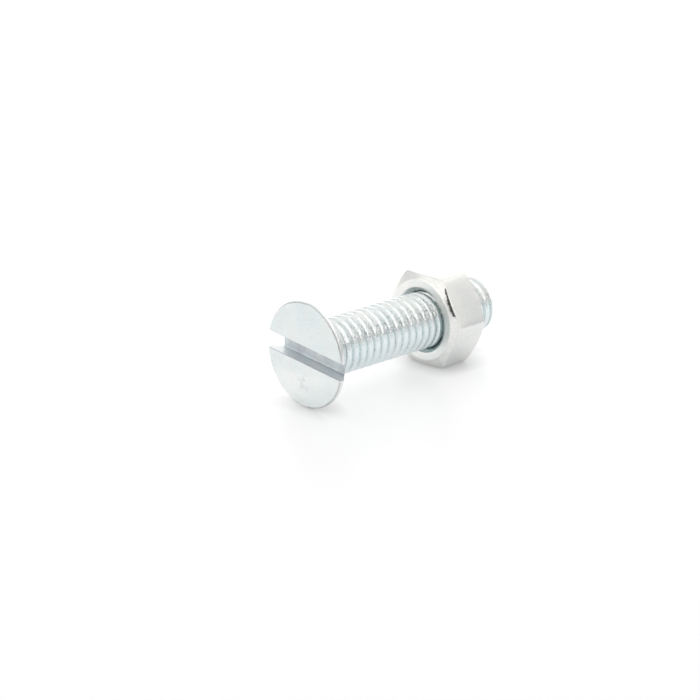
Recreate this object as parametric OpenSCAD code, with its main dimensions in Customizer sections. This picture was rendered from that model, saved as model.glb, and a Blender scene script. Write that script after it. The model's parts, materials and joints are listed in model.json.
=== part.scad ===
/* [Head] */

// Diameter across the rim of the countersunk head, in mm
head_d = 9; // [8.4:0.05:10.4]

// Height of the straight rim between the flat face and the cone, in mm
head_land = 0.35; // [0.15:0.05:0.6]

// Slope of the seat from the axis, in degrees
seat_slope = 45; // [41:1:50]

// Width of the small bevel round the flat face, in mm
rim_bevel = 0.1; // [0.04:0.02:0.2]

/* [Slot] */

// Width of the driver slot, in mm
slot_w = 1.45; // [0.9:0.05:1.8]

// Depth of the slot below the flat face, in mm
slot_depth = 1.15; // [0.7:0.05:1.6]

// Turn of the slot from level, in degrees
slot_turn = 5.8; // [-45:0.2:45]

/* [Thread] */

// Length from the flat face to the tip, in mm
screw_l = 19.9; // [19:0.1:30]

// Diameter over the thread's crests, in mm
thread_d = 4.85; // [4.6:0.05:5.2]

// Advance of the thread in one turn, in mm
pitch = 0.8; // [0.7:0.05:0.9]

// Depth of the thread from crest to root, in mm
thread_depth = 0.46; // [0.3:0.02:0.5]

// Width of the flat along each crest, in mm
crest_w = 0.1; // [0.04:0.02:0.14]

// Length of the bevel at the tip, in mm
tip_bevel = 0.45; // [0.2:0.05:0.8]

/* [Nut] */

// Distance across the nut's flats, in mm
nut_s = 7.85; // [7.4:0.05:8.1]

// Height of the nut along the axis, in mm
nut_h = 3.7; // [2.4:0.05:4.6]

// Distance from the screw's flat face to the nut's near face, in mm
nut_at = 13.2; // [5:0.1:15.2]

// Diameter of the round flat left on each end of the nut, in mm
nut_face_d = 7; // [6.6:0.05:7.5]

// Slope of the nut's corner bevels from its end faces, in degrees
nut_bevel = 30; // [20:1:40]

// Room between the thread's crests and the nut's bore, all round, in mm
bore_gap = 0.08; // [0.03:0.01:0.1]

// Diameter of the countersink at each mouth of the bore, in mm
mouth_d = 5.72; // [5.4:0.02:6]

/* [Hidden] */

head_r = head_d / 2;
thread_r = thread_d / 2;
root_r = thread_r - thread_depth;
bore_r = thread_r + bore_gap;
apothem = nut_s / 2;
corner_r = apothem / cos(30);
nut_face_r = nut_face_d / 2;

// The cone ends a little outside the thread's root, where the screw's core takes over
cone_end_r = root_r + 0.14;
cone_end = head_land + (head_r - cone_end_r) / tan(seat_slope);

// The screw lies on the back of its rim and on the far edge of the nut's lowest flat
far_edge = nut_at + nut_h - (apothem - nut_face_r) * tan(nut_bevel);
lean = atan((head_r - apothem) / (far_edge - head_land));
axis_z = head_land * sin(lean) + head_r * cos(lean);
tip_r = thread_r - tip_bevel;
low_x = -(head_r - rim_bevel) * sin(lean);
rim_x = rim_bevel * cos(lean) - head_r * sin(lean);
high_x = screw_l * cos(lean) + tip_r * sin(lean);
shift_x = -(min(low_x, rim_x) + high_x) / 2;

// The helix is drawn a little too tall, and cut back to a true cylinder at its crests
spare = 0.03;
flank_w = min((thread_depth + spare) * tan(30), (pitch - crest_w) / 2);
top_w = crest_w - 2 * spare * tan(30);

// It starts inside the cone, where the cone is wider than the crests
thread_in = head_land + (head_r - thread_r) / tan(seat_slope) - 0.35;
thread_from = thread_in - 0.7;

// It is made of this many steps a turn, and fades out into the end of the cone
steps = 32;
turns = ceil((screw_l - thread_from) / pitch) + 2;
last = turns * steps;
fade_from = cone_end - thread_from - pitch;
fade_to = fade_from + 1.6 * pitch;

STEEL = [0.80, 0.81, 0.80];
PLATED = [0.83, 0.83, 0.81];

// One point of the thread: step along the helix, and which corner of its section
function crest_at(x) =
    root_r + 0.02 + (thread_depth + spare - 0.02) * min(1, max(0, (x - fade_from) / (fade_to - fade_from)));

function corner_x(j) =
    j == 0 ? 0 : j == 1 ? flank_w : j == 2 ? flank_w + top_w : 2 * flank_w + top_w;

function thread_point(i, j) =
    let (x = pitch * i / steps + corner_x(j), r = (j == 1 || j == 2) ? crest_at(x) : root_r)
    [thread_from + x, r * cos(360 * i / steps), r * sin(360 * i / steps)];

function place(i, j) = j < 4 ? i * 4 + j : (i + steps) * 4;

module threaded_bar() {
    count = (last + 1) * 4;
    points = concat(
        [for (i = [0 : last], j = [0 : 3]) thread_point(i, j)],
        [[thread_from, 0, 0], [thread_from + turns * pitch, 0, 0]]
    );
    sides = [
        for (i = [0 : last - 1], j = [0 : 3])
            if (j < 3 || i < last - steps)
                each [
                    [place(i, j), place(i, j + 1), place(i + 1, j)],
                    [place(i + 1, j), place(i, j + 1), place(i + 1, j + 1)]
                ]
    ];
    near_end = [for (i = [0 : steps - 1]) [count, place(i, 0), place(i + 1, 0)]];
    near_step = [[count, place(steps, 0), place(0, 3), place(0, 2), place(0, 1), place(0, 0)]];
    far_end = [for (i = [last - steps : last - 1]) [count + 1, place(i + 1, 3), place(i, 3)]];
    far_step = [[
        count + 1,
        place(last - steps, 3),
        place(last, 0),
        place(last, 1),
        place(last, 2),
        place(last, 3)
    ]];
    polyhedron(points, concat(sides, near_end, near_step, far_end, far_step), convexity = 8);
}

// Lays a part that was drawn along X down on the floor, with one of the nut's flats underneath
module laid() {
    translate([shift_x, 0, axis_z])
        rotate([0, lean, 0])
            children();
}

// Turns a section drawn as radius and distance into a solid along X
module spun(sides = 96) {
    rotate([0, 90, 0])
        rotate_extrude($fn = sides)
            children();
}

module head() {
    spun()
        polygon([
            [0, 0],
            [head_r - rim_bevel, 0],
            [head_r, rim_bevel],
            [head_r, head_land],
            [cone_end_r, cone_end],
            [0, cone_end]
        ]);
}

module screw() {
    color(STEEL)
        laid()
            difference() {
                union() {
                    head();
                    intersection() {
                        threaded_bar();
                        spun()
                            polygon([
                                [0, thread_in],
                                [thread_r, thread_in],
                                [thread_r, screw_l - tip_bevel],
                                [tip_r, screw_l],
                                [0, screw_l]
                            ]);
                    }
                }
                rotate([slot_turn, 0, 0])
                    translate([-1, -head_d, -slot_w / 2])
                        cube([slot_depth + 1, 2 * head_d, slot_w]);
            }
}

module nut() {
    outside_r = corner_r + 0.4;
    drop = (outside_r - nut_face_r) * tan(nut_bevel);
    sink = mouth_d / 2 - bore_r;
    color(PLATED)
        laid()
            translate([nut_at, 0, 0])
                difference() {
                    intersection() {
                        rotate([30, 0, 0])
                            rotate([0, 90, 0])
                                cylinder(h = nut_h, r = corner_r, $fn = 6);
                        spun()
                            polygon([
                                [0, 0],
                                [nut_face_r, 0],
                                [outside_r, drop],
                                [outside_r, nut_h - drop],
                                [nut_face_r, nut_h],
                                [0, nut_h]
                            ]);
                    }
                    spun()
                        polygon([
                            [0, -1],
                            [bore_r + sink + 1, -1],
                            [bore_r, sink],
                            [bore_r, nut_h - sink],
                            [bore_r + sink + 1, nut_h + 1],
                            [0, nut_h + 1]
                        ]);
                }
}

screw();
nut();
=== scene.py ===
"""Looks of a slotted countersunk machine screw with a hexagon nut turned on near its tip."""

import json
import math

import bmesh
import bpy
import numpy as np
from bpy.props import FloatProperty, FloatVectorProperty, IntProperty, PointerProperty
from mathutils import Matrix, Vector


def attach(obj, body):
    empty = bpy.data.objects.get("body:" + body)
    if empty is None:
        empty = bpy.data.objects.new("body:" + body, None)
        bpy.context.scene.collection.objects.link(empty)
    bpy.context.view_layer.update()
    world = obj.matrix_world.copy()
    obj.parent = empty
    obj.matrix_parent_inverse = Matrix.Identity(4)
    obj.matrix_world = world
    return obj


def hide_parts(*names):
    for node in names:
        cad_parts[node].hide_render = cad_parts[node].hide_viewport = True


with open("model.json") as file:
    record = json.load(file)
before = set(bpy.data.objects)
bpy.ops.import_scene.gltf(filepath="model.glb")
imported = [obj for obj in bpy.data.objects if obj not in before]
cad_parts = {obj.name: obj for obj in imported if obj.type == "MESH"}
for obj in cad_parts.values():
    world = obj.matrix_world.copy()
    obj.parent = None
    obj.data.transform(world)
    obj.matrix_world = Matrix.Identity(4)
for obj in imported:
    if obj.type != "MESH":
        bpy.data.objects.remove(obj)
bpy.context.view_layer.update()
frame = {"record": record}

bl_info = {
    "name": "Machine screw with nut",
    "version": (1, 0, 0),
    "blender": (4, 5, 0),
    "location": "3D View > Sidebar > Machine screw",
    "description": "Builds a zinc plated countersunk screw, its nut and a pale studio around them",
    "category": "Add Mesh",
}

MM = 1000.0
FULL_TURN = 2 * math.pi
WHITE = (1.0, 1.0, 1.0, 1.0)

# Tangent of the slope of a thread's flanks, which stand 60 degrees apart
FLANK_SLOPE = math.tan(math.radians(30))

# Points closer than this many millimetres are joined
WELD = 0.0006

# Edges that turn more than this are shaded as sharp
SHARP = math.radians(33)

# How far under the surface of the head's cone the thread's grid starts, in mm along the axis
UNDER_CONE = 0.35

# How far inside the nut's end faces its outside meets its own thread, in mm
MOUTH_SINK = 0.03

# Material slots of the screw and of the nut, in the order in which they are filled
THREAD, SLOT_FLOOR, HEAD_FACE, RIM, SLOT_WALL, SEAT = SCREW_SLOTS = range(6)
NUT_SIDE, NUT_THREAD, NUT_FACE, NUT_BEVEL, NUT_BURR = range(5)

# Middle and spread in degrees and strength of the torn places on the nut's near bevel
TORN_PLACES = ((148, 12.0, 1.0), (112, 8.0, 0.25))

# Turns in degrees between which that bevel gets the material with the burr's painted shadow line
BURR_SPAN = (118, 176)

# Radius in mm and turn in degrees of both ends of the painted shadow line beside the burr
BURR_SHADOW_ENDS = ((4.1, 131.0), (3.92, 162.0))

# Place of the scuff on the head's face, from its middle to the side and up, in mm
SCUFF = (0.1, -2.4)

# Radius in metres of the curved cards round the screw
CARD_REACH = 0.6

# The cards: name, brightness setting, turns from +X, rises over the floor, and whether it is tinted
CARDS = (
    ("grey_card", "card_grey", (-128, -20), (1, 15), False),
    ("flat_card", "card_flat", (-54, -37), (15, 29), False),
    ("dark_card", "card_dark", (-166, -128), (4, 34), False),
    ("bright_card", "card_bright", (28, 70), (2, 23), False),
    ("back_card", "card_back", (26, 66), (23, 48), True),
    ("side_card", "card_side", (128, 186), (9, 34), True),
    ("window_card", "card_window", (-86, -54), (18, 44), True),
    ("high_card", "card_high", (-62, 26), (44, 80), True),
    ("left_card", "card_left", (84, 126), (1, 42), False),
)

# Where the soft lamp hangs, seen from above, in metres
SOFTBOX_PLACE = (0.08, 0.14)


def length(name, description, millimetres):
    """A length that shows in the scene's units and is kept in metres."""
    return FloatProperty(
        name=name,
        description=description,
        default=millimetres / MM,
        min=0.0,
        precision=6,
        unit="LENGTH",
    )


def angle(name, description, degrees):
    """An angle that shows in degrees and is kept in radians."""
    return FloatProperty(
        name=name,
        description=description,
        default=math.radians(degrees),
        unit="ROTATION",
        subtype="ANGLE",
    )


def colour(name, description, rgb):
    """An opaque colour."""
    return FloatVectorProperty(
        name=name,
        description=description,
        default=(*rgb, 1.0),
        size=4,
        min=0.0,
        max=1.0,
        subtype="COLOR",
    )


def amount(name, description, value, high=1.0):
    """A share, or a strength that may go over 1."""
    return FloatProperty(
        name=name,
        description=description,
        default=value,
        min=0.0,
        max=high,
        subtype="FACTOR" if high <= 1.0 else "NONE",
    )


class ScrewSizes(bpy.types.PropertyGroup):
    """Sizes of the screw: the solid's, apart from the slot's rounding and the thread's depth and crests."""

    head_d: length("Head diameter", "Across the rim of the countersunk head", 9.0)
    head_land: length("Rim height", "Straight rim between the flat face and the cone", 0.35)
    rim_bevel: length("Rim bevel", "Small bevel round the flat face", 0.1)
    seat_slope: angle("Seat slope", "Slope of the seat from the axis", 45)
    slot_w: length("Slot width", "Width of the driver slot", 1.45)
    slot_depth: length("Slot depth", "Depth of the slot below the flat face", 1.15)
    slot_turn: angle("Slot turn", "Turn of the slot from level", 5.8)
    slot_lip: length("Slot lip", "Rounding of the slot's edges at the flat face", 0.05)
    slot_fillet: length("Slot fillet", "Rounding along the foot of the slot's walls", 0.16)
    screw_l: length("Screw length", "From the flat face to the tip", 19.9)
    thread_d: length("Thread diameter", "Over the thread's crests", 4.85)
    pitch: length("Pitch", "Advance of the thread in one turn", 0.8)
    thread_depth: length("Thread depth", "From crest to root", 0.27)
    crest_w: length("Crest width", "Across the rounded top of each crest", 0.42)
    crest_x: length("Crest place", "Distance of the first crest from the flat face, at no turn", 1.6906)
    tip_bevel: length("Tip bevel", "Length of the bevel at the tip", 0.45)
    columns: IntProperty(name="Columns", description="Steps round the screw", default=160, min=32)


class NutSizes(bpy.types.PropertyGroup):
    """Sizes of the nut: the solid's, apart from its own thread and the easing of its corners."""

    nut_s: length("Across flats", "Distance across the nut's flats", 7.85)
    nut_h: length("Height", "Height of the nut along the axis", 3.7)
    nut_at: length("Place", "From the screw's flat face to the nut's near face", 13.2)
    nut_face_d: length("Face diameter", "Round flat left on each end of the nut", 7.0)
    nut_bevel: angle("Corner bevel", "Slope of the corner bevels from the end faces", 30)
    mouth_d: length("Mouth diameter", "Countersink at each mouth of the bore", 5.72)
    bore_gap: length("Thread clearance", "Room outside the screw's crests", 0.08)
    minor_d: length("Minor diameter", "Across the crests of the nut's own thread", 4.46)
    corner_round: length("Corner rounding", "How much each of the six corners is eased", 0.28)


class FinishColours(bpy.types.PropertyGroup):
    """Colours and roughness of the zinc plate."""

    # The thread's lower side keeps the bluer plate and its upper side gets a lighter copy of it: painted
    # light on the upper side. The seat uses the lighter colour too.
    plate: colour("Plate", "Zinc plate on the thread", (0.765, 0.84, 0.85))
    upper_plate_painted_lighter: colour("Upper plate", "Zinc plate on the upper side of the thread", (0.835, 0.86, 0.85))
    face_plate: colour("Face plate", "Zinc plate on the flat face of the head", (0.785, 0.825, 0.82))
    # Darker colour round the rim: painted dark reflection on the rim's bevel, beside the real nicks in its
    # mesh
    rim_plate_painted_dark: colour("Rim plate", "Rubbed and nicked plate round the rim", (0.60, 0.61, 0.61))
    blue: colour("Blue tint", "Bluish passivation in patches", (0.68, 0.775, 0.80))
    straw: colour("Straw tint", "Yellowish passivation in patches", (0.84, 0.83, 0.78))
    # Dull colour used for real specks and scuffs, and for painted shade in concave places such as thread
    # roots
    dull_plate_and_groove_shade: colour("Groove", "Duller plate at the bottom of grooves and slot", (0.30, 0.315, 0.335))
    nut_plate: colour("Nut plate", "Zinc plate on the nut", (0.86, 0.86, 0.835))
    bore_plate: colour("Bore plate", "Plate on the nut's own thread and its mouths", (0.70, 0.785, 0.77))
    # The slot's floor is painted darker and bluer: painted shade in the recess
    slot_plate_painted_shade: colour("Slot plate", "Duller plate on the floor of the driver slot", (0.475, 0.505, 0.54))
    wall_plate: colour("Slot wall plate", "Plate on the walls of the driver slot", (0.78, 0.82, 0.86))
    # Dark marks that are partly torn plate and partly painted shade of small burrs and nicks
    mark: colour("Marks", "Dark marks torn into the rim and the nut's bevels", (0.16, 0.17, 0.17))
    # Painted shadow: the dark line beside the burr on one of the nut's flats
    torn: colour("Torn burr", "The dark line of the burr beside one of the nut's flats", (0.11, 0.11, 0.11))
    rubbed: colour("Rubbed edges", "Metal that is rubbed bright along edges", (0.86, 0.87, 0.86))
    face_rough: amount("Face roughness", "Roughness of the flat face of the head", 0.42)
    thread_rough: amount("Thread roughness", "Roughness of the rolled thread", 0.19)
    slot_rough: amount("Slot roughness", "Roughness inside the driver slot", 0.34)
    nut_rough: amount("Nut roughness", "Roughness of the nut's faces", 0.3)


class StudioSizes(bpy.types.PropertyGroup):
    """Camera, floor and lights."""

    camera_distance: length("Camera distance", "From the camera to the point it looks at", 210.9)
    camera_turn: angle("Camera turn", "Turn of the camera round the object from +X", -132.11)
    camera_rise: angle("Camera rise", "Height of the camera above the floor, as an angle", 19.99)
    camera_roll: angle("Camera roll", "Turn of the camera about its own view", -2.3)
    aim: FloatVectorProperty(
        name="Aim",
        description="The point in the middle of the picture",
        default=(-0.002921, 0.002164, 0.002527),
        size=3,
        subtype="XYZ",
        unit="LENGTH",
    )
    lens: FloatProperty(
        name="Lens",
        description="Focal length in millimetres on a 36 mm sensor",
        default=129.58,
        min=1.0,
        unit="CAMERA",
    )
    floor_radius: length("Floor radius", "Radius of the pale floor", 1500.0)
    floor_colour: colour("Floor colour", "Colour of the floor under the lamp", (0.27, 0.27, 0.274))
    floor_seen: amount("Floor lift", "How far the floor is lifted to white where it is seen", 0.62)
    floor_mirrored: amount("Mirrored floor lift", "The same where metal mirrors the floor", 0.68)
    contact_reach: length("Contact shadow", "How close things darken the floor", 1.8)
    softbox_side: length("Softbox side", "Side of the square lamp overhead", 500.0)
    softbox_height: length("Softbox height", "Height of the lamp over the floor", 365.0)
    softbox_power: FloatProperty(
        name="Softbox power",
        description="Power of the lamp overhead, in watts",
        default=1.3,
        min=0.0,
        unit="POWER",
    )
    room_light: amount("Room light", "Strength of the room's diffuse light", 0.42)
    card_tint: colour("Card tint", "Colour of the cards that light the metal from above", (1.0, 0.98, 0.96))
    card_grey: amount("Grey card", "How bright the card right of the camera is", 0.5)
    card_flat: amount("Flat card", "How bright the card that the nut's upper flat mirrors is", 0.46)
    card_dark: amount("Dark card", "How bright the card beside the camera is", 0.3)
    card_bright: amount("Bright card", "How bright the low card behind the screw is", 1.5, high=3.0)
    card_back: amount("Back card", "How bright the upper card behind the screw is", 1.05, high=3.0)
    card_side: amount("Side card", "How bright the card on the head's side is", 1.35, high=3.0)
    card_window: amount("Window card", "How bright the small card over the tip is", 1.7, high=3.0)
    card_high: amount("High card", "How bright the large card high over the tip is", 1.5, high=3.0)
    card_left: amount("Left card", "How bright the card behind the head is", 0.82)


def sizes(group):
    """The lengths of a group in millimetres and its other settings as they are, by name."""
    values = {}
    for name in group.__annotations__:
        value = getattr(group, name)
        unit = group.bl_rna.properties[name].unit
        values[name] = value * MM if unit == "LENGTH" and isinstance(value, float) else value
    return values


def thread_mount():
    """The record's mount at the tip, whose axis is the screw's."""
    return next(m for m in frame["record"]["mounts"] if m["name"] == "thread")


def axis_frame(screw_l):
    """Matrix from millimetres along the screw's own axis to metres on the floor."""
    tip = thread_mount()
    along = Vector(tip["axis"]).normalized()
    across = Vector((0.0, 1.0, 0.0))
    out = along.cross(across)
    start = Vector(tip["pos_m"]) - along * (screw_l / MM)
    turned = Matrix((along, across, out)).transposed().to_4x4()
    return Matrix.Translation(start) @ turned @ Matrix.Diagonal((1 / MM, 1 / MM, 1 / MM, 1.0))


def ring_point(x, r, about):
    """The point at a distance along the axis, a radius and a turn in radians."""
    return x, r * math.cos(about), r * math.sin(about)


def larger(a, b, blur):
    """Maximum of two radii with a small fillet where they cross."""
    return 0.5 * (a + b + np.sqrt((a - b) ** 2 + blur * blur))


def smaller(a, b, blur):
    """Minimum of two radii with a small rounding where they cross."""
    return 0.5 * (a + b - np.sqrt((a - b) ** 2 + blur * blur))


def eased(points, cuts, steps=3):
    """A polyline with its inner corners rounded, each curve starting a cut's length from its corner."""
    points = [np.array(p, float) for p in points]
    result = [points[0]]
    for before, corner, after, cut in zip(points, points[1:], points[2:], cuts):
        if cut <= 0:
            result.append(corner)
            continue
        start = corner + (before - corner) * cut / np.linalg.norm(before - corner)
        end = corner + (after - corner) * cut / np.linalg.norm(after - corner)
        for i in range(steps + 1):
            t = i / steps
            result.append((1 - t) ** 2 * start + 2 * t * (1 - t) * corner + t * t * end)
    result.append(points[-1])
    return np.array(result)


def thread_section(pitch, outer, inner, crest_w, root_cut, crest_cut):
    """One pitch of a thread's section from crest middle to crest middle, as distance and radius."""
    flank = (outer - inner) * FLANK_SLOPE
    half = crest_w / 2
    # One more point low on each flank keeps the painted shade at the thread's roots narrow
    down = 0.75
    low = inner + (1 - down) * (outer - inner)
    line = [
        (0.0, outer),
        (half, outer),
        (half + down * flank, low),
        (half + flank, inner),
        (pitch - half - flank, inner),
        (pitch - half - down * flank, low),
        (pitch - half, outer),
        (pitch, outer),
    ]
    return eased(line, [crest_cut, 0, root_cut, root_cut, 0, crest_cut])


def helical_rows(section, pitch, turns, x_from, x_to, crest_x):
    """Places along the axis and radii of a thread's grid, one column for each turn angle."""
    per_pitch = len(section) - 1
    first = math.floor((x_from - crest_x) / pitch) - 2
    last = math.ceil((x_to - crest_x) / pitch) + 1
    steps = np.array([section[j, 0] + k * pitch for k in range(first, last) for j in range(per_pitch)])
    x = np.clip(crest_x + turns[:, None] * pitch + steps[None, :], x_from, x_to)
    phase = (x - crest_x - turns[:, None] * pitch) % pitch
    return x, np.interp(phase, section[:, 0], section[:, 1]), per_pitch


def add_grid(bm, x, r, turns, shift, material, outward=True):
    """Adds a tube of faces. Its last column meets the first one shifted by that many rows."""
    columns, rows = x.shape
    cos, sin = np.cos(turns * FULL_TURN), np.sin(turns * FULL_TURN)
    verts = [
        [bm.verts.new((x[a, j], r[a, j] * cos[a], r[a, j] * sin[a])) for j in range(rows)]
        for a in range(columns)
    ]
    for a in range(columns):
        b, skip = (0, shift) if a == columns - 1 else (a + 1, 0)
        for j in range(rows - 1 - skip):
            corners = (verts[a][j], verts[a][j + 1], verts[b][j + 1 + skip], verts[b][j + skip])
            face = bm.faces.new(corners[::-1] if outward else corners)
            face.material_index = material
            face.smooth = True


def join_rings(bm, near, far):
    """Adds the faces between two rings of as many points."""
    count = len(near)
    for a in range(count):
        b = (a + 1) % count
        face = bm.faces.new((near[a], near[b], far[b], far[a]))
        face.smooth = True


def clean(bm):
    """Joins equal points and drops the faces that closed up."""
    bmesh.ops.remove_doubles(bm, verts=bm.verts, dist=WELD)
    bmesh.ops.dissolve_degenerate(bm, edges=bm.edges, dist=WELD / 4)
    loose = [v for v in bm.verts if not v.link_faces]
    bmesh.ops.delete(bm, geom=loose, context="VERTS")


def crisp(bm):
    """Marks the edges that turn a lot as sharp."""
    for edge in bm.edges:
        if len(edge.link_faces) == 2 and edge.calc_face_angle(0.0) > SHARP:
            edge.smooth = False


def new_object(name, bm):
    """Turns a finished mesh into an object of the scene."""
    mesh = bpy.data.meshes.new(name)
    bm.to_mesh(mesh)
    bm.free()
    piece = bpy.data.objects.new(name, mesh)
    bpy.context.scene.collection.objects.link(piece)
    return piece


def thread_worn(x, r, turns, depth, seed):
    """Radii with the small dents and waves that rolling and handling leave in a thread's crests."""
    waves, wave_height = 6, 0.0016
    # The dents lie between the head and the tip, and an angle becomes a length at the crests' radius
    dents, dents_from, off_tip, crest_r = 34, 3.5, 0.5, 2.4
    rng = np.random.default_rng(seed)
    angle_at = turns[:, None] * FULL_TURN
    wave = np.zeros_like(x)
    for _ in range(waves):
        along, about, start = rng.uniform(0.4, 2.2), int(rng.integers(2, 9)), rng.uniform(0, 6.28)
        wave += np.sin(x * along * FULL_TURN + about * angle_at + start)
    crest = np.clip((r - r.min()) / depth, 0, 1) ** 2
    worn = r + wave_height * wave * crest
    for _ in range(dents):
        at, about = rng.uniform(dents_from, x.max() - off_tip), rng.uniform(0, FULL_TURN)
        wide, deep = rng.uniform(0.08, 0.22), rng.uniform(0.01, 0.035)
        apart = (angle_at - about + math.pi) % FULL_TURN - math.pi
        dent = np.exp(-((x - at) ** 2 + (apart * crest_r) ** 2) / (wide * wide))
        worn -= deep * dent * crest
    return worn


def screw_radius(s, x, r):
    """Radius of the screw where its thread runs out of the cone and into the tip's bevel."""
    # The cone ends a little outside the root, and the thread fades in round its end
    cone_step, fade_before, fade_over = 0.14, 0.8 * s["pitch"], 1.5 * s["pitch"]
    neck_fillet, tip_rounding = 0.05, 0.03
    head_r, thread_r = s["head_d"] / 2, s["thread_d"] / 2
    root_r = thread_r - s["thread_depth"]
    slope = math.tan(s["seat_slope"])
    cone_end = s["head_land"] + (head_r - root_r - cone_step) / slope
    grown = np.clip((x - cone_end + fade_before) / fade_over, 0, 1)
    r = root_r + (r - root_r) * (grown * grown * (3 - 2 * grown))
    cone = head_r - (x - s["head_land"]) * slope
    tip = thread_r - s["tip_bevel"] + (s["screw_l"] - x)
    return smaller(larger(r, cone, neck_fillet), tip, tip_rounding)


def rim_nicks(turns, seed):
    """How deep the rim is dented at each turn: a few knocks, most of them along its lower edge."""
    knocks, deepest, chatter = 26, 0.11, 0.004
    lower_edge, scatter, anywhere = 0.72, 0.09, 0.35
    rng = np.random.default_rng(seed)
    deep = chatter * rng.random(len(turns))
    for _ in range(knocks):
        about = rng.uniform(0.0, 1.0) if rng.random() < anywhere else rng.normal(lower_edge, scatter)
        wide, knock = rng.uniform(0.003, 0.01), rng.uniform(0.03, 0.1)
        apart = (turns - about + 0.5) % 1.0 - 0.5
        deep = deep + knock * np.exp(-((apart / wide) ** 2))
    return np.minimum(deep, deepest)


def head_blank(s, x_from, seat_r, turns):
    """The turned head from its flat face to a ring on the cone, closed at both ends."""
    head_r, bevel, land = s["head_d"] / 2, s["rim_bevel"], s["head_land"]
    outline = eased(
        [
            (0.0, head_r - bevel - 0.1),
            (0.0, head_r - bevel),
            (bevel, head_r),
            (land, head_r),
            (x_from, head_r - (x_from - land) * math.tan(s["seat_slope"])),
        ],
        [0.05, 0.05, 0.06],
    )
    rows = list(outline[:-1])
    start = rows[-1]
    rows += [start + (outline[-1] - start) * t for t in (0.25, 0.5, 0.75)]
    angles = turns * FULL_TURN
    nicks = rim_nicks(turns, seed=5)
    # The nicks fade out over the rim behind the face, and on the face inside its bevel
    back, inside = land + 0.1, 0.04
    bm = bmesh.new()
    rings = []
    for x, r in rows:
        share = max(0.0, 1.0 - x / back) * min(1.0, max(0.0, (r - head_r + bevel + inside) / inside))
        rings.append([
            bm.verts.new(ring_point(x, r - nick * share, about)) for about, nick in zip(angles, nicks)
        ])
    rings.append([bm.verts.new(ring_point(x_from, r, about)) for about, r in zip(angles, seat_r)])
    for near, far in zip(rings, rings[1:]):
        join_rings(bm, near, far)
    bm.faces.new(rings[0][::-1])
    bm.faces.new(rings[-1])
    for face in bm.faces:
        middle = face.calc_center_median().x
        face.smooth = True
        face.material_index = HEAD_FACE if middle < bevel * 0.05 else RIM if middle < bevel * 1.1 else SEAT
    return bm


def slot_cutter(s):
    """The prism that the driver slot is cut with, lips and foot rounded."""
    half, lip, foot, depth = s["slot_w"] / 2, s["slot_lip"], s["slot_fillet"], s["slot_depth"]
    over_face, half_length = 0.6, s["head_d"] * 0.7
    side = eased(
        [(-half - lip, -over_face), (-half - lip, 0.0), (-half, lip), (-half, depth), (0.0, depth)],
        [0.0, lip * 0.6, foot],
        steps=4,
    )
    outline = [(z, x) for z, x in side] + [(-z, x) for z, x in side[-2::-1]]
    bm = bmesh.new()
    near, far = ([bm.verts.new((x, y, z)) for z, x in outline] for y in (-half_length, half_length))
    join_rings(bm, near, far)
    bm.faces.new(near[::-1])
    bm.faces.new(far)
    bmesh.ops.recalc_face_normals(bm, faces=bm.faces)
    for face in bm.faces:
        face.material_index = SLOT_WALL if abs(face.normal.z) > 0.9 else SLOT_FLOOR
        face.smooth = True
    bmesh.ops.rotate(bm, verts=bm.verts, matrix=Matrix.Rotation(s["slot_turn"], 3, "X"))
    return bm


def slotted_head(s, x_from, seat_r, turns):
    """The head with its slot cut, open where the thread goes on."""
    blank = new_object("head_blank", head_blank(s, x_from, seat_r, turns))
    cutter = new_object("slot_cutter", slot_cutter(s))
    cut = blank.modifiers.new("slot", "BOOLEAN")
    cut.operation = "DIFFERENCE"
    cut.solver = "EXACT"
    cut.object = cutter
    # Empty material slots, so that the cut keeps the faces' numbers
    for _ in SCREW_SLOTS:
        blank.data.materials.append(None)
        cutter.data.materials.append(None)
    bpy.context.view_layer.update()
    ready = blank.evaluated_get(bpy.context.evaluated_depsgraph_get())
    bm = bmesh.new()
    bm.from_mesh(ready.to_mesh())
    ready.to_mesh_clear()
    for scrap in (blank, cutter):
        bpy.data.meshes.remove(scrap.data)
    touching = 1e-4
    caps = [f for f in bm.faces if f.calc_center_median().x > x_from - touching]
    if len(caps) != 1:
        raise RuntimeError(f"the slot left {len(caps)} end faces on the head, where one was expected")
    bmesh.ops.delete(bm, geom=caps, context="FACES_ONLY")
    return bm


def tip_face(bm, s):
    """Closes the tip with a shallow dish, as thread rolling leaves it."""
    end, touching, dish_depth = s["screw_l"], 0.01, 0.06
    rim = [e for e in bm.edges if len(e.link_faces) == 1 and e.verts[0].co.x > end - touching]
    ring = sorted({v for e in rim for v in e.verts}, key=lambda v: math.atan2(v.co.z, v.co.y))
    outer = ring
    for share, sink in ((0.9, 0.0), (0.72, 0.02), (0.4, 0.05), (0.15, dish_depth)):
        inner = [bm.verts.new((end - sink, v.co.y * share, v.co.z * share)) for v in ring]
        join_rings(bm, outer, inner)
        outer = inner
    middle = bm.verts.new((end - dish_depth, 0.0, 0.0))
    for a in range(len(outer)):
        face = bm.faces.new((outer[a], outer[(a + 1) % len(outer)], middle))
        face.smooth = True


def screw_mesh(s):
    """The whole screw as one closed mesh, in millimetres along its own axis."""
    turns = np.arange(s["columns"]) / s["columns"]
    thread_r, depth, pitch = s["thread_d"] / 2, s["thread_depth"], s["pitch"]
    x_from = s["head_land"] + (s["head_d"] - s["thread_d"]) / 2 / math.tan(s["seat_slope"]) - UNDER_CONE
    section = thread_section(
        pitch, thread_r, thread_r - depth, s["crest_w"], root_cut=0.01, crest_cut=0.12
    )
    x, r, per_pitch = helical_rows(section, pitch, turns, x_from, s["screw_l"], s["crest_x"])
    r = thread_worn(x, r, turns, depth, seed=11)
    r = screw_radius(s, x, r)
    bm = slotted_head(s, x_from, r[:, 0], turns)
    add_grid(bm, x, r, turns, per_pitch, THREAD)
    clean(bm)
    tip_face(bm, s)
    return bm


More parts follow.
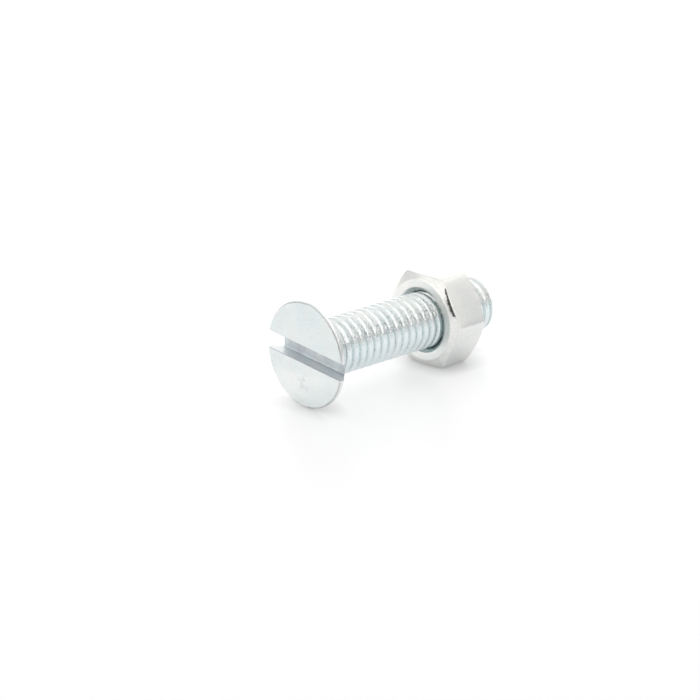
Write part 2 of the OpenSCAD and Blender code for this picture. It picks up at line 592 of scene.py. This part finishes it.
def hexagon_turns():
    """Turns round the nut, closer together near its six corners."""
    near = [0.0, 0.5, 1.0, 1.6, 2.4, 3.4, *np.arange(4.6, 29.5, 1.35)]
    sector = near + [30.0] + [60.0 - d for d in reversed(near[1:])]
    return np.array([60.0 * k + d for k in range(6) for d in sector]) / 360.0


def hexagon_radius(s, turns):
    """Radius to the nut's side at each turn, with eased corners."""
    apothem, least = s["nut_s"] / 2, 0.2
    from_flats = [turns * FULL_TURN - math.radians(30 + 60 * k) for k in range(6)]
    reach = np.sort([apothem / np.maximum(np.cos(off), least) for off in from_flats], axis=0)
    return smaller(reach[0], reach[1], s["corner_round"])


def bevel_burr(turns, seed):
    """How rough the nut's near bevel is at each turn, and how far its torn lip stands out."""
    rng = np.random.default_rng(seed)
    chatter_height, torn_height, lip_height = 0.006, 0.08, 0.03
    torn = sum(
        strength * np.exp(-(((turns * 360 - middle) / spread) ** 2))
        for middle, spread, strength in TORN_PLACES
    )
    chatter = rng.random(len(turns))
    rough = chatter_height * chatter + torn_height * torn * chatter
    return rough, lip_height * torn * (0.4 + 0.6 * rng.random(len(turns)))


def nut_outline(s, reach, drop, near_r, far_r, torn, lip):
    """The nut's section at one turn, from the near mouth over the side to the far mouth."""
    height, face_r, mouth_r = s["nut_h"], s["nut_face_d"] / 2, s["mouth_d"] / 2 + 0.006
    line = [(MOUTH_SINK, near_r), (0.0, mouth_r)]
    line += [(0.0, mouth_r + (face_r - mouth_r) * t) for t in (0.35, 0.7)]
    line += [(0.0, face_r)]
    line += [(drop * t + torn * t * t, face_r + (reach - face_r) * t) for t in (0.25, 0.5, 0.75)]
    line += [
        (drop + torn * 0.6, reach - torn * 0.5 + lip),
        (drop + torn + 0.12, reach + lip * 0.5),
        (drop + 0.3, reach),
        (height - drop, reach),
        (height, face_r),
        (height, mouth_r),
        (height - MOUTH_SINK, far_r),
    ]
    return eased(line, [0.02, 0, 0, 0.05, 0, 0, 0, 0.02, 0, 0, 0.04, 0.05, 0.02])


def nut_finish(face, height):
    """Which finish a face on the outside of the nut gets."""
    # How far an end face and a bevel face turn to the axis, and the radius outside which bevels lie
    end_slant, bevel_slant, bevel_from = 0.97, 0.25, 3.3
    middle = face.calc_center_median()
    slant, out = abs(face.normal.x), math.hypot(middle.y, middle.z)
    if slant > end_slant:
        return NUT_FACE
    if slant <= bevel_slant or out <= bevel_from:
        return NUT_SIDE
    about = math.degrees(math.atan2(middle.z, middle.y))
    torn = middle.x < height / 2 and BURR_SPAN[0] < about < BURR_SPAN[1]
    return NUT_BURR if torn else NUT_BEVEL


def nut_mesh(s, screw):
    """The whole nut as one closed mesh, in millimetres along the screw's axis."""
    turns = hexagon_turns()
    height, pitch = s["nut_h"], screw["pitch"]
    major_r = screw["thread_d"] / 2 + s["bore_gap"]
    groove_w = screw["crest_w"] + 0.11 - 2 * s["bore_gap"] * FLANK_SLOPE
    section = thread_section(pitch, major_r, s["minor_d"] / 2, groove_w, root_cut=0.015, crest_cut=0.03)
    crest_x = screw["crest_x"] - s["nut_at"]
    x, r, per_pitch = helical_rows(section, pitch, turns, MOUTH_SINK, height - MOUTH_SINK, crest_x)
    r = larger(r, s["mouth_d"] / 2 - np.minimum(x, height - x), 0.03)
    bm = bmesh.new()
    add_grid(bm, x, r, turns, per_pitch, NUT_THREAD, outward=False)
    side_r = hexagon_radius(s, turns)
    drops = (side_r - s["nut_face_d"] / 2) * math.tan(s["nut_bevel"])
    torn, lip = bevel_burr(turns, seed=3)
    outline = np.array([
        nut_outline(s, *values) for values in zip(side_r, drops, r[:, 0], r[:, -1], torn, lip)
    ])
    add_grid(bm, outline[:, :, 0], outline[:, :, 1], turns, 0, NUT_SIDE)
    clean(bm)
    for face in bm.faces:
        if face.material_index != NUT_THREAD:
            face.material_index = nut_finish(face, height)
    for v in bm.verts:
        v.co.x += s["nut_at"]
    return bm


def nodes_of(owner):
    """The emptied node tree of a material or a world."""
    owner.use_nodes = True
    tree = owner.node_tree
    tree.nodes.clear()
    return tree


def feed(tree, socket, value):
    """Links an input to another node's output, or sets it."""
    if isinstance(value, bpy.types.NodeSocket):
        tree.links.new(value, socket)
    else:
        socket.default_value = value


def node(tree, kind, inputs=None, **settings):
    """Adds a node with its settings and its inputs, each one set or linked."""
    made = tree.nodes.new(kind)
    for key, value in settings.items():
        setattr(made, key, value)
    for key, value in (inputs or {}).items():
        feed(tree, made.inputs[key], value)
    return made


def ramp(tree, factor, *stops):
    """Greys between the stops, each a position and a grey."""
    made = node(tree, "ShaderNodeValToRGB", {"Fac": factor})
    elements = made.color_ramp.elements
    while len(elements) < len(stops):
        elements.new(0.5)
    for element, (position, value) in zip(elements, stops):
        element.position = position
        element.color = (value, value, value, 1.0)
    return made.outputs["Color"]


def mixed(tree, factor, first, second):
    """The first colour where the factor is 0, and the second where it is 1."""
    made = node(tree, "ShaderNodeMix", data_type="RGBA")
    sockets = {s.identifier: s for s in made.inputs}
    feed(tree, sockets["Factor_Float"], factor)
    feed(tree, sockets["A_Color"], first)
    feed(tree, sockets["B_Color"], second)
    return next(s for s in made.outputs if s.identifier == "Result_Color")


def sums(tree, operation, *values):
    """What a Math node makes of its values."""
    made = node(tree, "ShaderNodeMath", operation=operation)
    for socket, value in zip(made.inputs, values):
        feed(tree, socket, value)
    return made.outputs[0]


def squared(tree, value):
    """A value times itself."""
    return sums(tree, "MULTIPLY", value, value)


def vectors(tree, operation, first, second):
    """The outputs of a Vector Math node, Vector and Value."""
    return node(tree, "ShaderNodeVectorMath", {0: first, 1: second}, operation=operation).outputs


def noise(tree, place, scale, detail, roughness):
    """Noise between 0 and 1."""
    settings = {"Vector": place, "Scale": scale, "Detail": detail, "Roughness": roughness}
    return node(tree, "ShaderNodeTexNoise", settings).outputs["Fac"]


def speckle(tree, place, scale, detail=3.0, roughness=0.55, stretch=None):
    """Noise whose scale is in features for each millimetre."""
    if stretch is not None:
        place = node(tree, "ShaderNodeMapping", {"Vector": place, "Scale": stretch}).outputs["Vector"]
    return noise(tree, place, scale * MM, detail, roughness)


def turned_marks(tree, place, centre):
    """Fine streaks in circles round the screw's axis."""
    away = vectors(tree, "SUBTRACT", place, tuple(centre))["Vector"]
    parts = node(tree, "ShaderNodeSeparateXYZ", {"Vector": away}).outputs
    both = sums(tree, "ADD", squared(tree, parts["Y"]), squared(tree, parts["Z"]))
    outward = sums(tree, "MULTIPLY", sums(tree, "POWER", both, 0.5), 9.0 * MM)
    about = sums(tree, "MULTIPLY", sums(tree, "ARCTAN2", parts["Y"], parts["Z"]), 1.4)
    rings = node(tree, "ShaderNodeCombineXYZ", {"X": outward, "Y": about, "Z": 0.0})
    return noise(tree, rings.outputs["Vector"], 1.0, 3.0, 0.6)


def burr_shadow_line(tree, place, start, end):
    """Painted shadow beside the burr: 1 along the line between two places seen along the screw, with a
    ragged border.
    """
    along = end - start
    along.x = 0.0
    away = vectors(tree, "SUBTRACT", place, tuple(start))["Vector"]
    across = vectors(tree, "MULTIPLY", away, (0.0, 1.0, 1.0))["Vector"]
    part = vectors(tree, "DOT_PRODUCT", across, tuple(along / along.length_squared))["Value"]
    part = node(tree, "ShaderNodeClamp", {"Value": part}).outputs[0]
    foot = node(tree, "ShaderNodeVectorMath", {0: tuple(along), "Scale": part}, operation="SCALE")
    gap = vectors(tree, "DISTANCE", across, foot.outputs["Vector"])["Value"]
    ragged = sums(tree, "MULTIPLY", speckle(tree, place, 3.5, 4.0, 0.65), 0.6)
    reach = sums(tree, "ADD", sums(tree, "MULTIPLY", gap, MM), ragged)
    return ramp(tree, reach, (0.38, 1.0), (0.47, 0.0))


def upper_side(tree, place):
    """0 on the screw's lower side and 1 on its upper side, with a soft step just over the axis."""
    tip = thread_mount()
    lean = -tip["axis"][2] / tip["axis"][0]
    height = vectors(tree, "DOT_PRODUCT", place, (lean, 0.0, 1.0))["Value"]
    level = sums(tree, "SUBTRACT", height, tip["pos_m"][2] + lean * tip["pos_m"][0])
    return ramp(tree, sums(tree, "MULTIPLY", level, MM), (0.5, 0.0), (1.0, 1.0))


def scuffed(tree, place, centre):
    """A patch of faint streaks that fades out a millimetre from its centre."""
    away = sums(tree, "MULTIPLY", vectors(tree, "DISTANCE", place, tuple(centre))["Value"], MM)
    near = ramp(tree, away, (0.2, 0.45), (0.95, 0.0))
    streaked = ramp(tree, speckle(tree, place, 1.6, 2.0), (0.47, 0.0), (0.56, 1.0))
    return sums(tree, "MULTIPLY", near, streaked)


def zinc_plate(
    name,
    colours,
    base,
    roughness,
    spread=0.1,
    scratch=(1.0, 6.0, 6.0),
    grain=0.5,
    bump=0.35,
    relief=0.009,
    # worn: how strongly concave places are darkened with painted shade
    worn=0.35,
    rubbed=0.5,
    tint=0.75,
    specks=0.12,
    marks=0.0,
    mottle=0.0,
    # upper: the lighter colour painted on the upper side as painted light
    upper=None,
    centre=None,
    scuff=None,
    # burr: ends of the painted shadow line beside the burr
    burr=None,
):
    """Bright zinc plate: tinted in patches, brighter where it is rubbed, with painted shade in its grooves,
    painted light on its upper side where asked, and a painted shadow line beside a burr where asked.
    """
    material = bpy.data.materials.new(name)
    tree = nodes_of(material)
    place = node(tree, "ShaderNodeTexCoord").outputs["Object"]
    dull_plate_and_groove_shade = tuple(colours.dull_plate_and_groove_shade)

    # Soft clouds, patches, fine grain and long or round scratches, which all that follows draws on
    cloud = speckle(tree, place, 0.32, 3.0)
    patch = speckle(tree, place, 0.9, 4.0, 0.6)
    fine = speckle(tree, place, 7.0, 4.0, 0.65)
    if centre is None:
        lines = speckle(tree, place, 3.2, 5.0, 0.7, stretch=scratch)
    else:
        lines = turned_marks(tree, place, centre)

    # Colour: the plate itself, painted lighter on the upper side as painted light, with painted shade in
    # concave places, real specks and scuffs, dark marks that stand partly for the shade of burrs, a painted
    # shadow line beside the burr, and rubbed edges
    body, top = tuple(base), 1.0
    # Painted light: the upper side of the screw gets the lighter colour
    if upper is not None:
        top = upper_side(tree, place)
        body = mixed(tree, top, body, tuple(upper))
    body = mixed(tree, ramp(tree, cloud, (0.42, 0.0), (0.66, tint)), body, tuple(colours.blue))
    body = mixed(tree, ramp(tree, patch, (0.52, 0.0), (0.72, 0.8 * tint)), body, tuple(colours.straw))
    body = mixed(tree, ramp(tree, fine, (0.36, specks), (0.56, 0.0)), body, dull_plate_and_groove_shade)
    edge = node(tree, "ShaderNodeNewGeometry").outputs["Pointiness"]
    # Painted shade: concave places, found by pointiness, darken towards the dull colour, most in the
    # thread's roots
    body = mixed(tree, ramp(tree, edge, (0.45, worn), (0.495, 0.0)), body, dull_plate_and_groove_shade)
    if scuff is not None:
        body = mixed(tree, scuffed(tree, place, scuff), body, dull_plate_and_groove_shade)
    # Dark marks along the scratch pattern: partly torn plate, partly painted shade of burrs
    if marks > 0:
        torn = sums(tree, "MULTIPLY", ramp(tree, lines, (0.36, 1.0), (0.52, 0.0)), marks)
        body = mixed(tree, torn, body, tuple(colours.mark))
    # Painted shadow: the dark line beside the nut's burr
    if burr is not None:
        body = mixed(tree, burr_shadow_line(tree, place, *burr), body, tuple(colours.torn))
    high = ramp(tree, edge, (0.51, 0.0), (0.58, rubbed))
    body = mixed(tree, high, body, tuple(colours.rubbed))

    # Roughness, higher in patches and along scratches, and lower where edges are rubbed
    rough = sums(tree, "MULTIPLY_ADD", ramp(tree, patch, (0.3, 0.0), (0.7, 1.0)), spread, roughness)
    rough = sums(tree, "ADD", rough, sums(tree, "MULTIPLY", lines, spread * 0.8))
    rough = sums(tree, "SUBTRACT", rough, sums(tree, "MULTIPLY", high, 0.1))

    # Height of the grain and scratches, and of the mottle that is strongest on the upper side
    height = sums(tree, "ADD", sums(tree, "MULTIPLY", fine, grain), lines)
    if mottle > 0:
        pitted = sums(tree, "MULTIPLY", speckle(tree, place, 4.0, 0.5, 0.4), mottle)
        strength = sums(tree, "ADD", sums(tree, "MULTIPLY", top, 0.8), 0.2)
        height = sums(tree, "ADD", height, sums(tree, "MULTIPLY", pitted, strength))
    uneven = node(tree, "ShaderNodeBump", {"Strength": bump, "Distance": relief / MM, "Height": height})
    shader = node(
        tree,
        "ShaderNodeBsdfPrincipled",
        {"Base Color": body, "Metallic": 1.0, "Roughness": rough, "Normal": uneven.outputs["Normal"]},
    )
    node(tree, "ShaderNodeOutputMaterial", {"Surface": shader.outputs["BSDF"]})
    return material


def dress(piece, *materials):
    """Fills a piece's material slots in order."""
    for material in materials:
        piece.data.materials.append(material)


class SCREW_OT_body(bpy.types.Operator):
    """Builds the screw: slotted head, seat, rolled thread and tip in one piece"""

    bl_idname = "screw.body"
    bl_label = "Screw"

    def execute(self, context):
        s = sizes(context.scene.screw_sizes)
        look = context.scene.screw_finish
        bm = screw_mesh(s)
        crisp(bm)
        piece = new_object("screw_body", bm)
        placed = axis_frame(s["screw_l"])
        piece.data.transform(placed)
        rolled = {"bump": 1.0, "relief": 0.006}
        along_slot = {"scratch": (9, 0.6, 9)}
        dress(
            piece,
            zinc_plate(
                "rolled_zinc_thread",
                look,
                look.plate,
                look.thread_rough,
                **rolled,
                # The thread's upper side is painted lighter as painted light
                upper=look.upper_plate_painted_lighter,
                grain=0.6,
                mottle=9.0,
                # worn: painted shade in the thread's roots
                worn=1.0,
                rubbed=0.1,
                tint=0.5,
                specks=0.1,
            ),
            # The slot's floor gets painted shade through its darker colour
            zinc_plate("slot_zinc", look, look.slot_plate_painted_shade, look.slot_rough, **along_slot, rubbed=0.1),
            zinc_plate(
                "head_face_zinc",
                look,
                look.face_plate,
                look.face_rough,
                scratch=(1, 1, 5),
                tint=0.5,
                scuff=placed @ Vector((0.0, *SCUFF)),
            ),
            # The rim's darker colour is painted dark reflection; its nicks are real dents in the mesh
            zinc_plate(
                "rim_zinc", look, look.rim_plate_painted_dark, look.thread_rough, grain=1.0, bump=0.9, marks=0.4
            ),
            zinc_plate("slot_wall_zinc", look, look.wall_plate, look.slot_rough, **along_slot),
            zinc_plate("seat_zinc", look, look.upper_plate_painted_lighter, look.thread_rough, **rolled, mottle=2.5),
        )
        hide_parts("screw")
        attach(piece, "screw")
        return {"FINISHED"}


class SCREW_OT_nut(bpy.types.Operator):
    """Builds the hexagon nut with its bevelled corners, countersunk mouths and own thread"""

    bl_idname = "screw.nut"
    bl_label = "Nut"

    def execute(self, context):
        s = sizes(context.scene.nut_sizes)
        screw = sizes(context.scene.screw_sizes)
        look = context.scene.screw_finish
        bm = nut_mesh(s, screw)
        crisp(bm)
        piece = new_object("nut_body", bm)
        placed = axis_frame(screw["screw_l"])
        piece.data.transform(placed)
        plate, rough = look.nut_plate, look.thread_rough
        middle = placed @ Vector((s["nut_at"], 0.0, 0.0))
        # The bevels' marks stand partly for the shade of small burrs
        bevel = {"grain": 1.0, "bump": 0.6, "tint": 0.1, "marks": 0.1, "centre": middle}
        # Ends of the painted shadow line beside the burr
        burr = [
            placed @ Vector(ring_point(s["nut_at"], r, math.radians(degrees))) for r, degrees in BURR_SHADOW_ENDS
        ]
        dress(
            piece,
            zinc_plate("nut_zinc", look, plate, look.nut_rough, scratch=(5, 1, 1), tint=0.25),
            zinc_plate(
                "nut_thread_zinc",
                look,
                look.bore_plate,
                look.slot_rough,
                relief=0.006,
                # worn: painted shade in the roots of the nut's thread
                worn=0.6,
                mottle=8.0,
            ),
            zinc_plate("nut_face_zinc", look, plate, look.nut_rough, centre=middle, bump=0.6, tint=0.3),
            zinc_plate("nut_bevel_zinc", look, plate, rough, **bevel),
            zinc_plate("nut_burr_zinc", look, plate, rough, **bevel, burr=burr),
        )
        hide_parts("nut")
        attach(piece, "nut")
        return {"FINISHED"}


def white_room(scene, strength):
    """A world that is white where it is seen or mirrored, and lights the metal less than that."""
    world = bpy.data.worlds.new("white_room")
    scene.world = world
    tree = nodes_of(world)
    path = node(tree, "ShaderNodeLightPath").outputs
    seen = sums(tree, "MAXIMUM", path["Is Camera Ray"], path["Is Glossy Ray"])
    seen = sums(tree, "MAXIMUM", seen, path["Is Transmission Ray"])
    level = sums(tree, "MULTIPLY", seen, 1.0 - strength)
    level = sums(tree, "ADD", level, strength)
    glow = node(tree, "ShaderNodeBackground", {"Color": WHITE, "Strength": level})
    node(tree, "ShaderNodeOutputWorld", {"Surface": glow.outputs["Background"]})


def pale_floor(s):
    """The floor: lifted towards white where it is seen or mirrored, but less close under the screw."""
    bm = bmesh.new()
    bmesh.ops.create_circle(bm, cap_ends=True, segments=64, radius=s.floor_radius)
    floor = new_object("floor", bm)
    material = bpy.data.materials.new("pale_floor")
    tree = nodes_of(material)
    path = node(tree, "ShaderNodeLightPath").outputs
    mirrored = sums(tree, "MAXIMUM", path["Is Glossy Ray"], path["Is Transmission Ray"])
    seen = sums(tree, "MULTIPLY", path["Is Camera Ray"], s.floor_seen)
    lift = sums(tree, "ADD", seen, sums(tree, "MULTIPLY", mirrored, s.floor_mirrored))
    # Painted contact shadow: ambient occlusion lowers the floor's lift close to the screw and nut
    contact = node(tree, "ShaderNodeAmbientOcclusion", {"Distance": s.contact_reach}, samples=8)
    lift = sums(tree, "MULTIPLY", lift, ramp(tree, contact.outputs["AO"], (0.0, 0.4), (1.0, 1.0)))
    shader = node(
        tree,
        "ShaderNodeBsdfPrincipled",
        {
            "Base Color": tuple(s.floor_colour),
            "Roughness": 0.3,
            "Specular IOR Level": 0.35,
            "Emission Color": WHITE,
            "Emission Strength": lift,
        },
    )
    node(tree, "ShaderNodeOutputMaterial", {"Surface": shader.outputs["BSDF"]})
    dress(floor, material)


def direction(turn, rise):
    """The way to a place at a turn round the object from +X and a rise over the floor."""
    return math.cos(rise) * math.cos(turn), math.cos(rise) * math.sin(turn), math.sin(rise)


def curved_card(name, level, turns, rises, tint):
    """A curved card round the screw, seen only in the metal."""
    bm = bmesh.new()
    columns = [
        [
            bm.verts.new([CARD_REACH * part for part in direction(turn, rise)])
            for rise in np.radians(np.linspace(*rises, 6))
        ]
        for turn in np.radians(np.linspace(*turns, 17))
    ]
    for left, right in zip(columns, columns[1:]):
        for j in range(len(left) - 1):
            bm.faces.new((left[j], right[j], right[j + 1], left[j + 1]))
    card = new_object(name, bm)
    material = bpy.data.materials.new(name)
    tree = nodes_of(material)
    glow = node(tree, "ShaderNodeEmission", {"Color": tuple(tint), "Strength": level})
    node(tree, "ShaderNodeOutputMaterial", {"Surface": glow.outputs["Emission"]})
    dress(card, material)
    card.visible_camera = False
    card.visible_shadow = False


def soft_lamp(scene, s):
    """The square lamp overhead, turned to the object and hidden from the metal."""
    lamp = bpy.data.lights.new("softbox", "AREA")
    lamp.shape = "SQUARE"
    lamp.size = s.softbox_side
    lamp.energy = s.softbox_power
    softbox = bpy.data.objects.new("softbox", lamp)
    softbox.location = (*SOFTBOX_PLACE, s.softbox_height)
    softbox.visible_glossy = False
    softbox.rotation_euler = Vector(softbox.location).to_track_quat("Z", "Y").to_euler()
    scene.collection.objects.link(softbox)


def photo_camera(scene, s):
    """The camera at the photograph's viewing angle."""
    lens = bpy.data.cameras.new("camera")
    lens.lens = s.lens
    lens.sensor_width = 36.0
    lens.clip_start = 0.01
    lens.clip_end = 10.0
    camera = bpy.data.objects.new("camera", lens)
    scene.collection.objects.link(camera)
    back = Vector(direction(s.camera_turn, s.camera_rise))
    camera.location = Vector(s.aim) + back * s.camera_distance
    turned = back.to_track_quat("Z", "Y").to_matrix() @ Matrix.Rotation(s.camera_roll, 3, "Z")
    camera.rotation_euler = turned.to_euler()
    scene.camera = camera


class SCREW_OT_studio(bpy.types.Operator):
    """Adds the pale floor, the curved cards, the white room, the soft lamp and the camera"""

    bl_idname = "screw.studio"
    bl_label = "Studio"

    def execute(self, context):
        scene = context.scene
        s = scene.screw_studio
        pale_floor(s)
        for name, brightness, turns, rises, tinted in CARDS:
            curved_card(name, getattr(s, brightness), turns, rises, s.card_tint if tinted else WHITE)
        white_room(scene, s.room_light)
        soft_lamp(scene, s)
        photo_camera(scene, s)
        scene.view_settings.view_transform = "Standard"
        return {"FINISHED"}


class SCREW_PT_sidebar(bpy.types.Panel):
    """Lists the pieces with their sizes and finishes"""

    bl_idname = "SCREW_PT_sidebar"
    bl_label = "Machine screw"
    bl_space_type = "VIEW_3D"
    bl_region_type = "UI"
    bl_category = "Machine screw"

    def draw(self, context):
        for operator, owner in (
            (SCREW_OT_body, "screw_sizes"),
            (SCREW_OT_nut, "nut_sizes"),
            (SCREW_OT_studio, "screw_studio"),
            (None, "screw_finish"),
        ):
            box = self.layout.box()
            if operator is not None:
                box.operator(operator.bl_idname)
            group = getattr(context.scene, owner)
            for name in group.__annotations__:
                box.prop(group, name)


GROUPS = {
    "screw_sizes": ScrewSizes,
    "nut_sizes": NutSizes,
    "screw_finish": FinishColours,
    "screw_studio": StudioSizes,
}
CLASSES = (*GROUPS.values(), SCREW_OT_body, SCREW_OT_nut, SCREW_OT_studio, SCREW_PT_sidebar)


def register():
    for kind in CLASSES:
        bpy.utils.register_class(kind)
    for name, kind in GROUPS.items():
        setattr(bpy.types.Scene, name, PointerProperty(type=kind))


def unregister():
    for name in GROUPS:
        delattr(bpy.types.Scene, name)
    for kind in reversed(CLASSES):
        bpy.utils.unregister_class(kind)


def main():
    register()
    bpy.ops.screw.body()
    bpy.ops.screw.nut()
    bpy.ops.screw.studio()


if __name__ == "__main__":
    main()
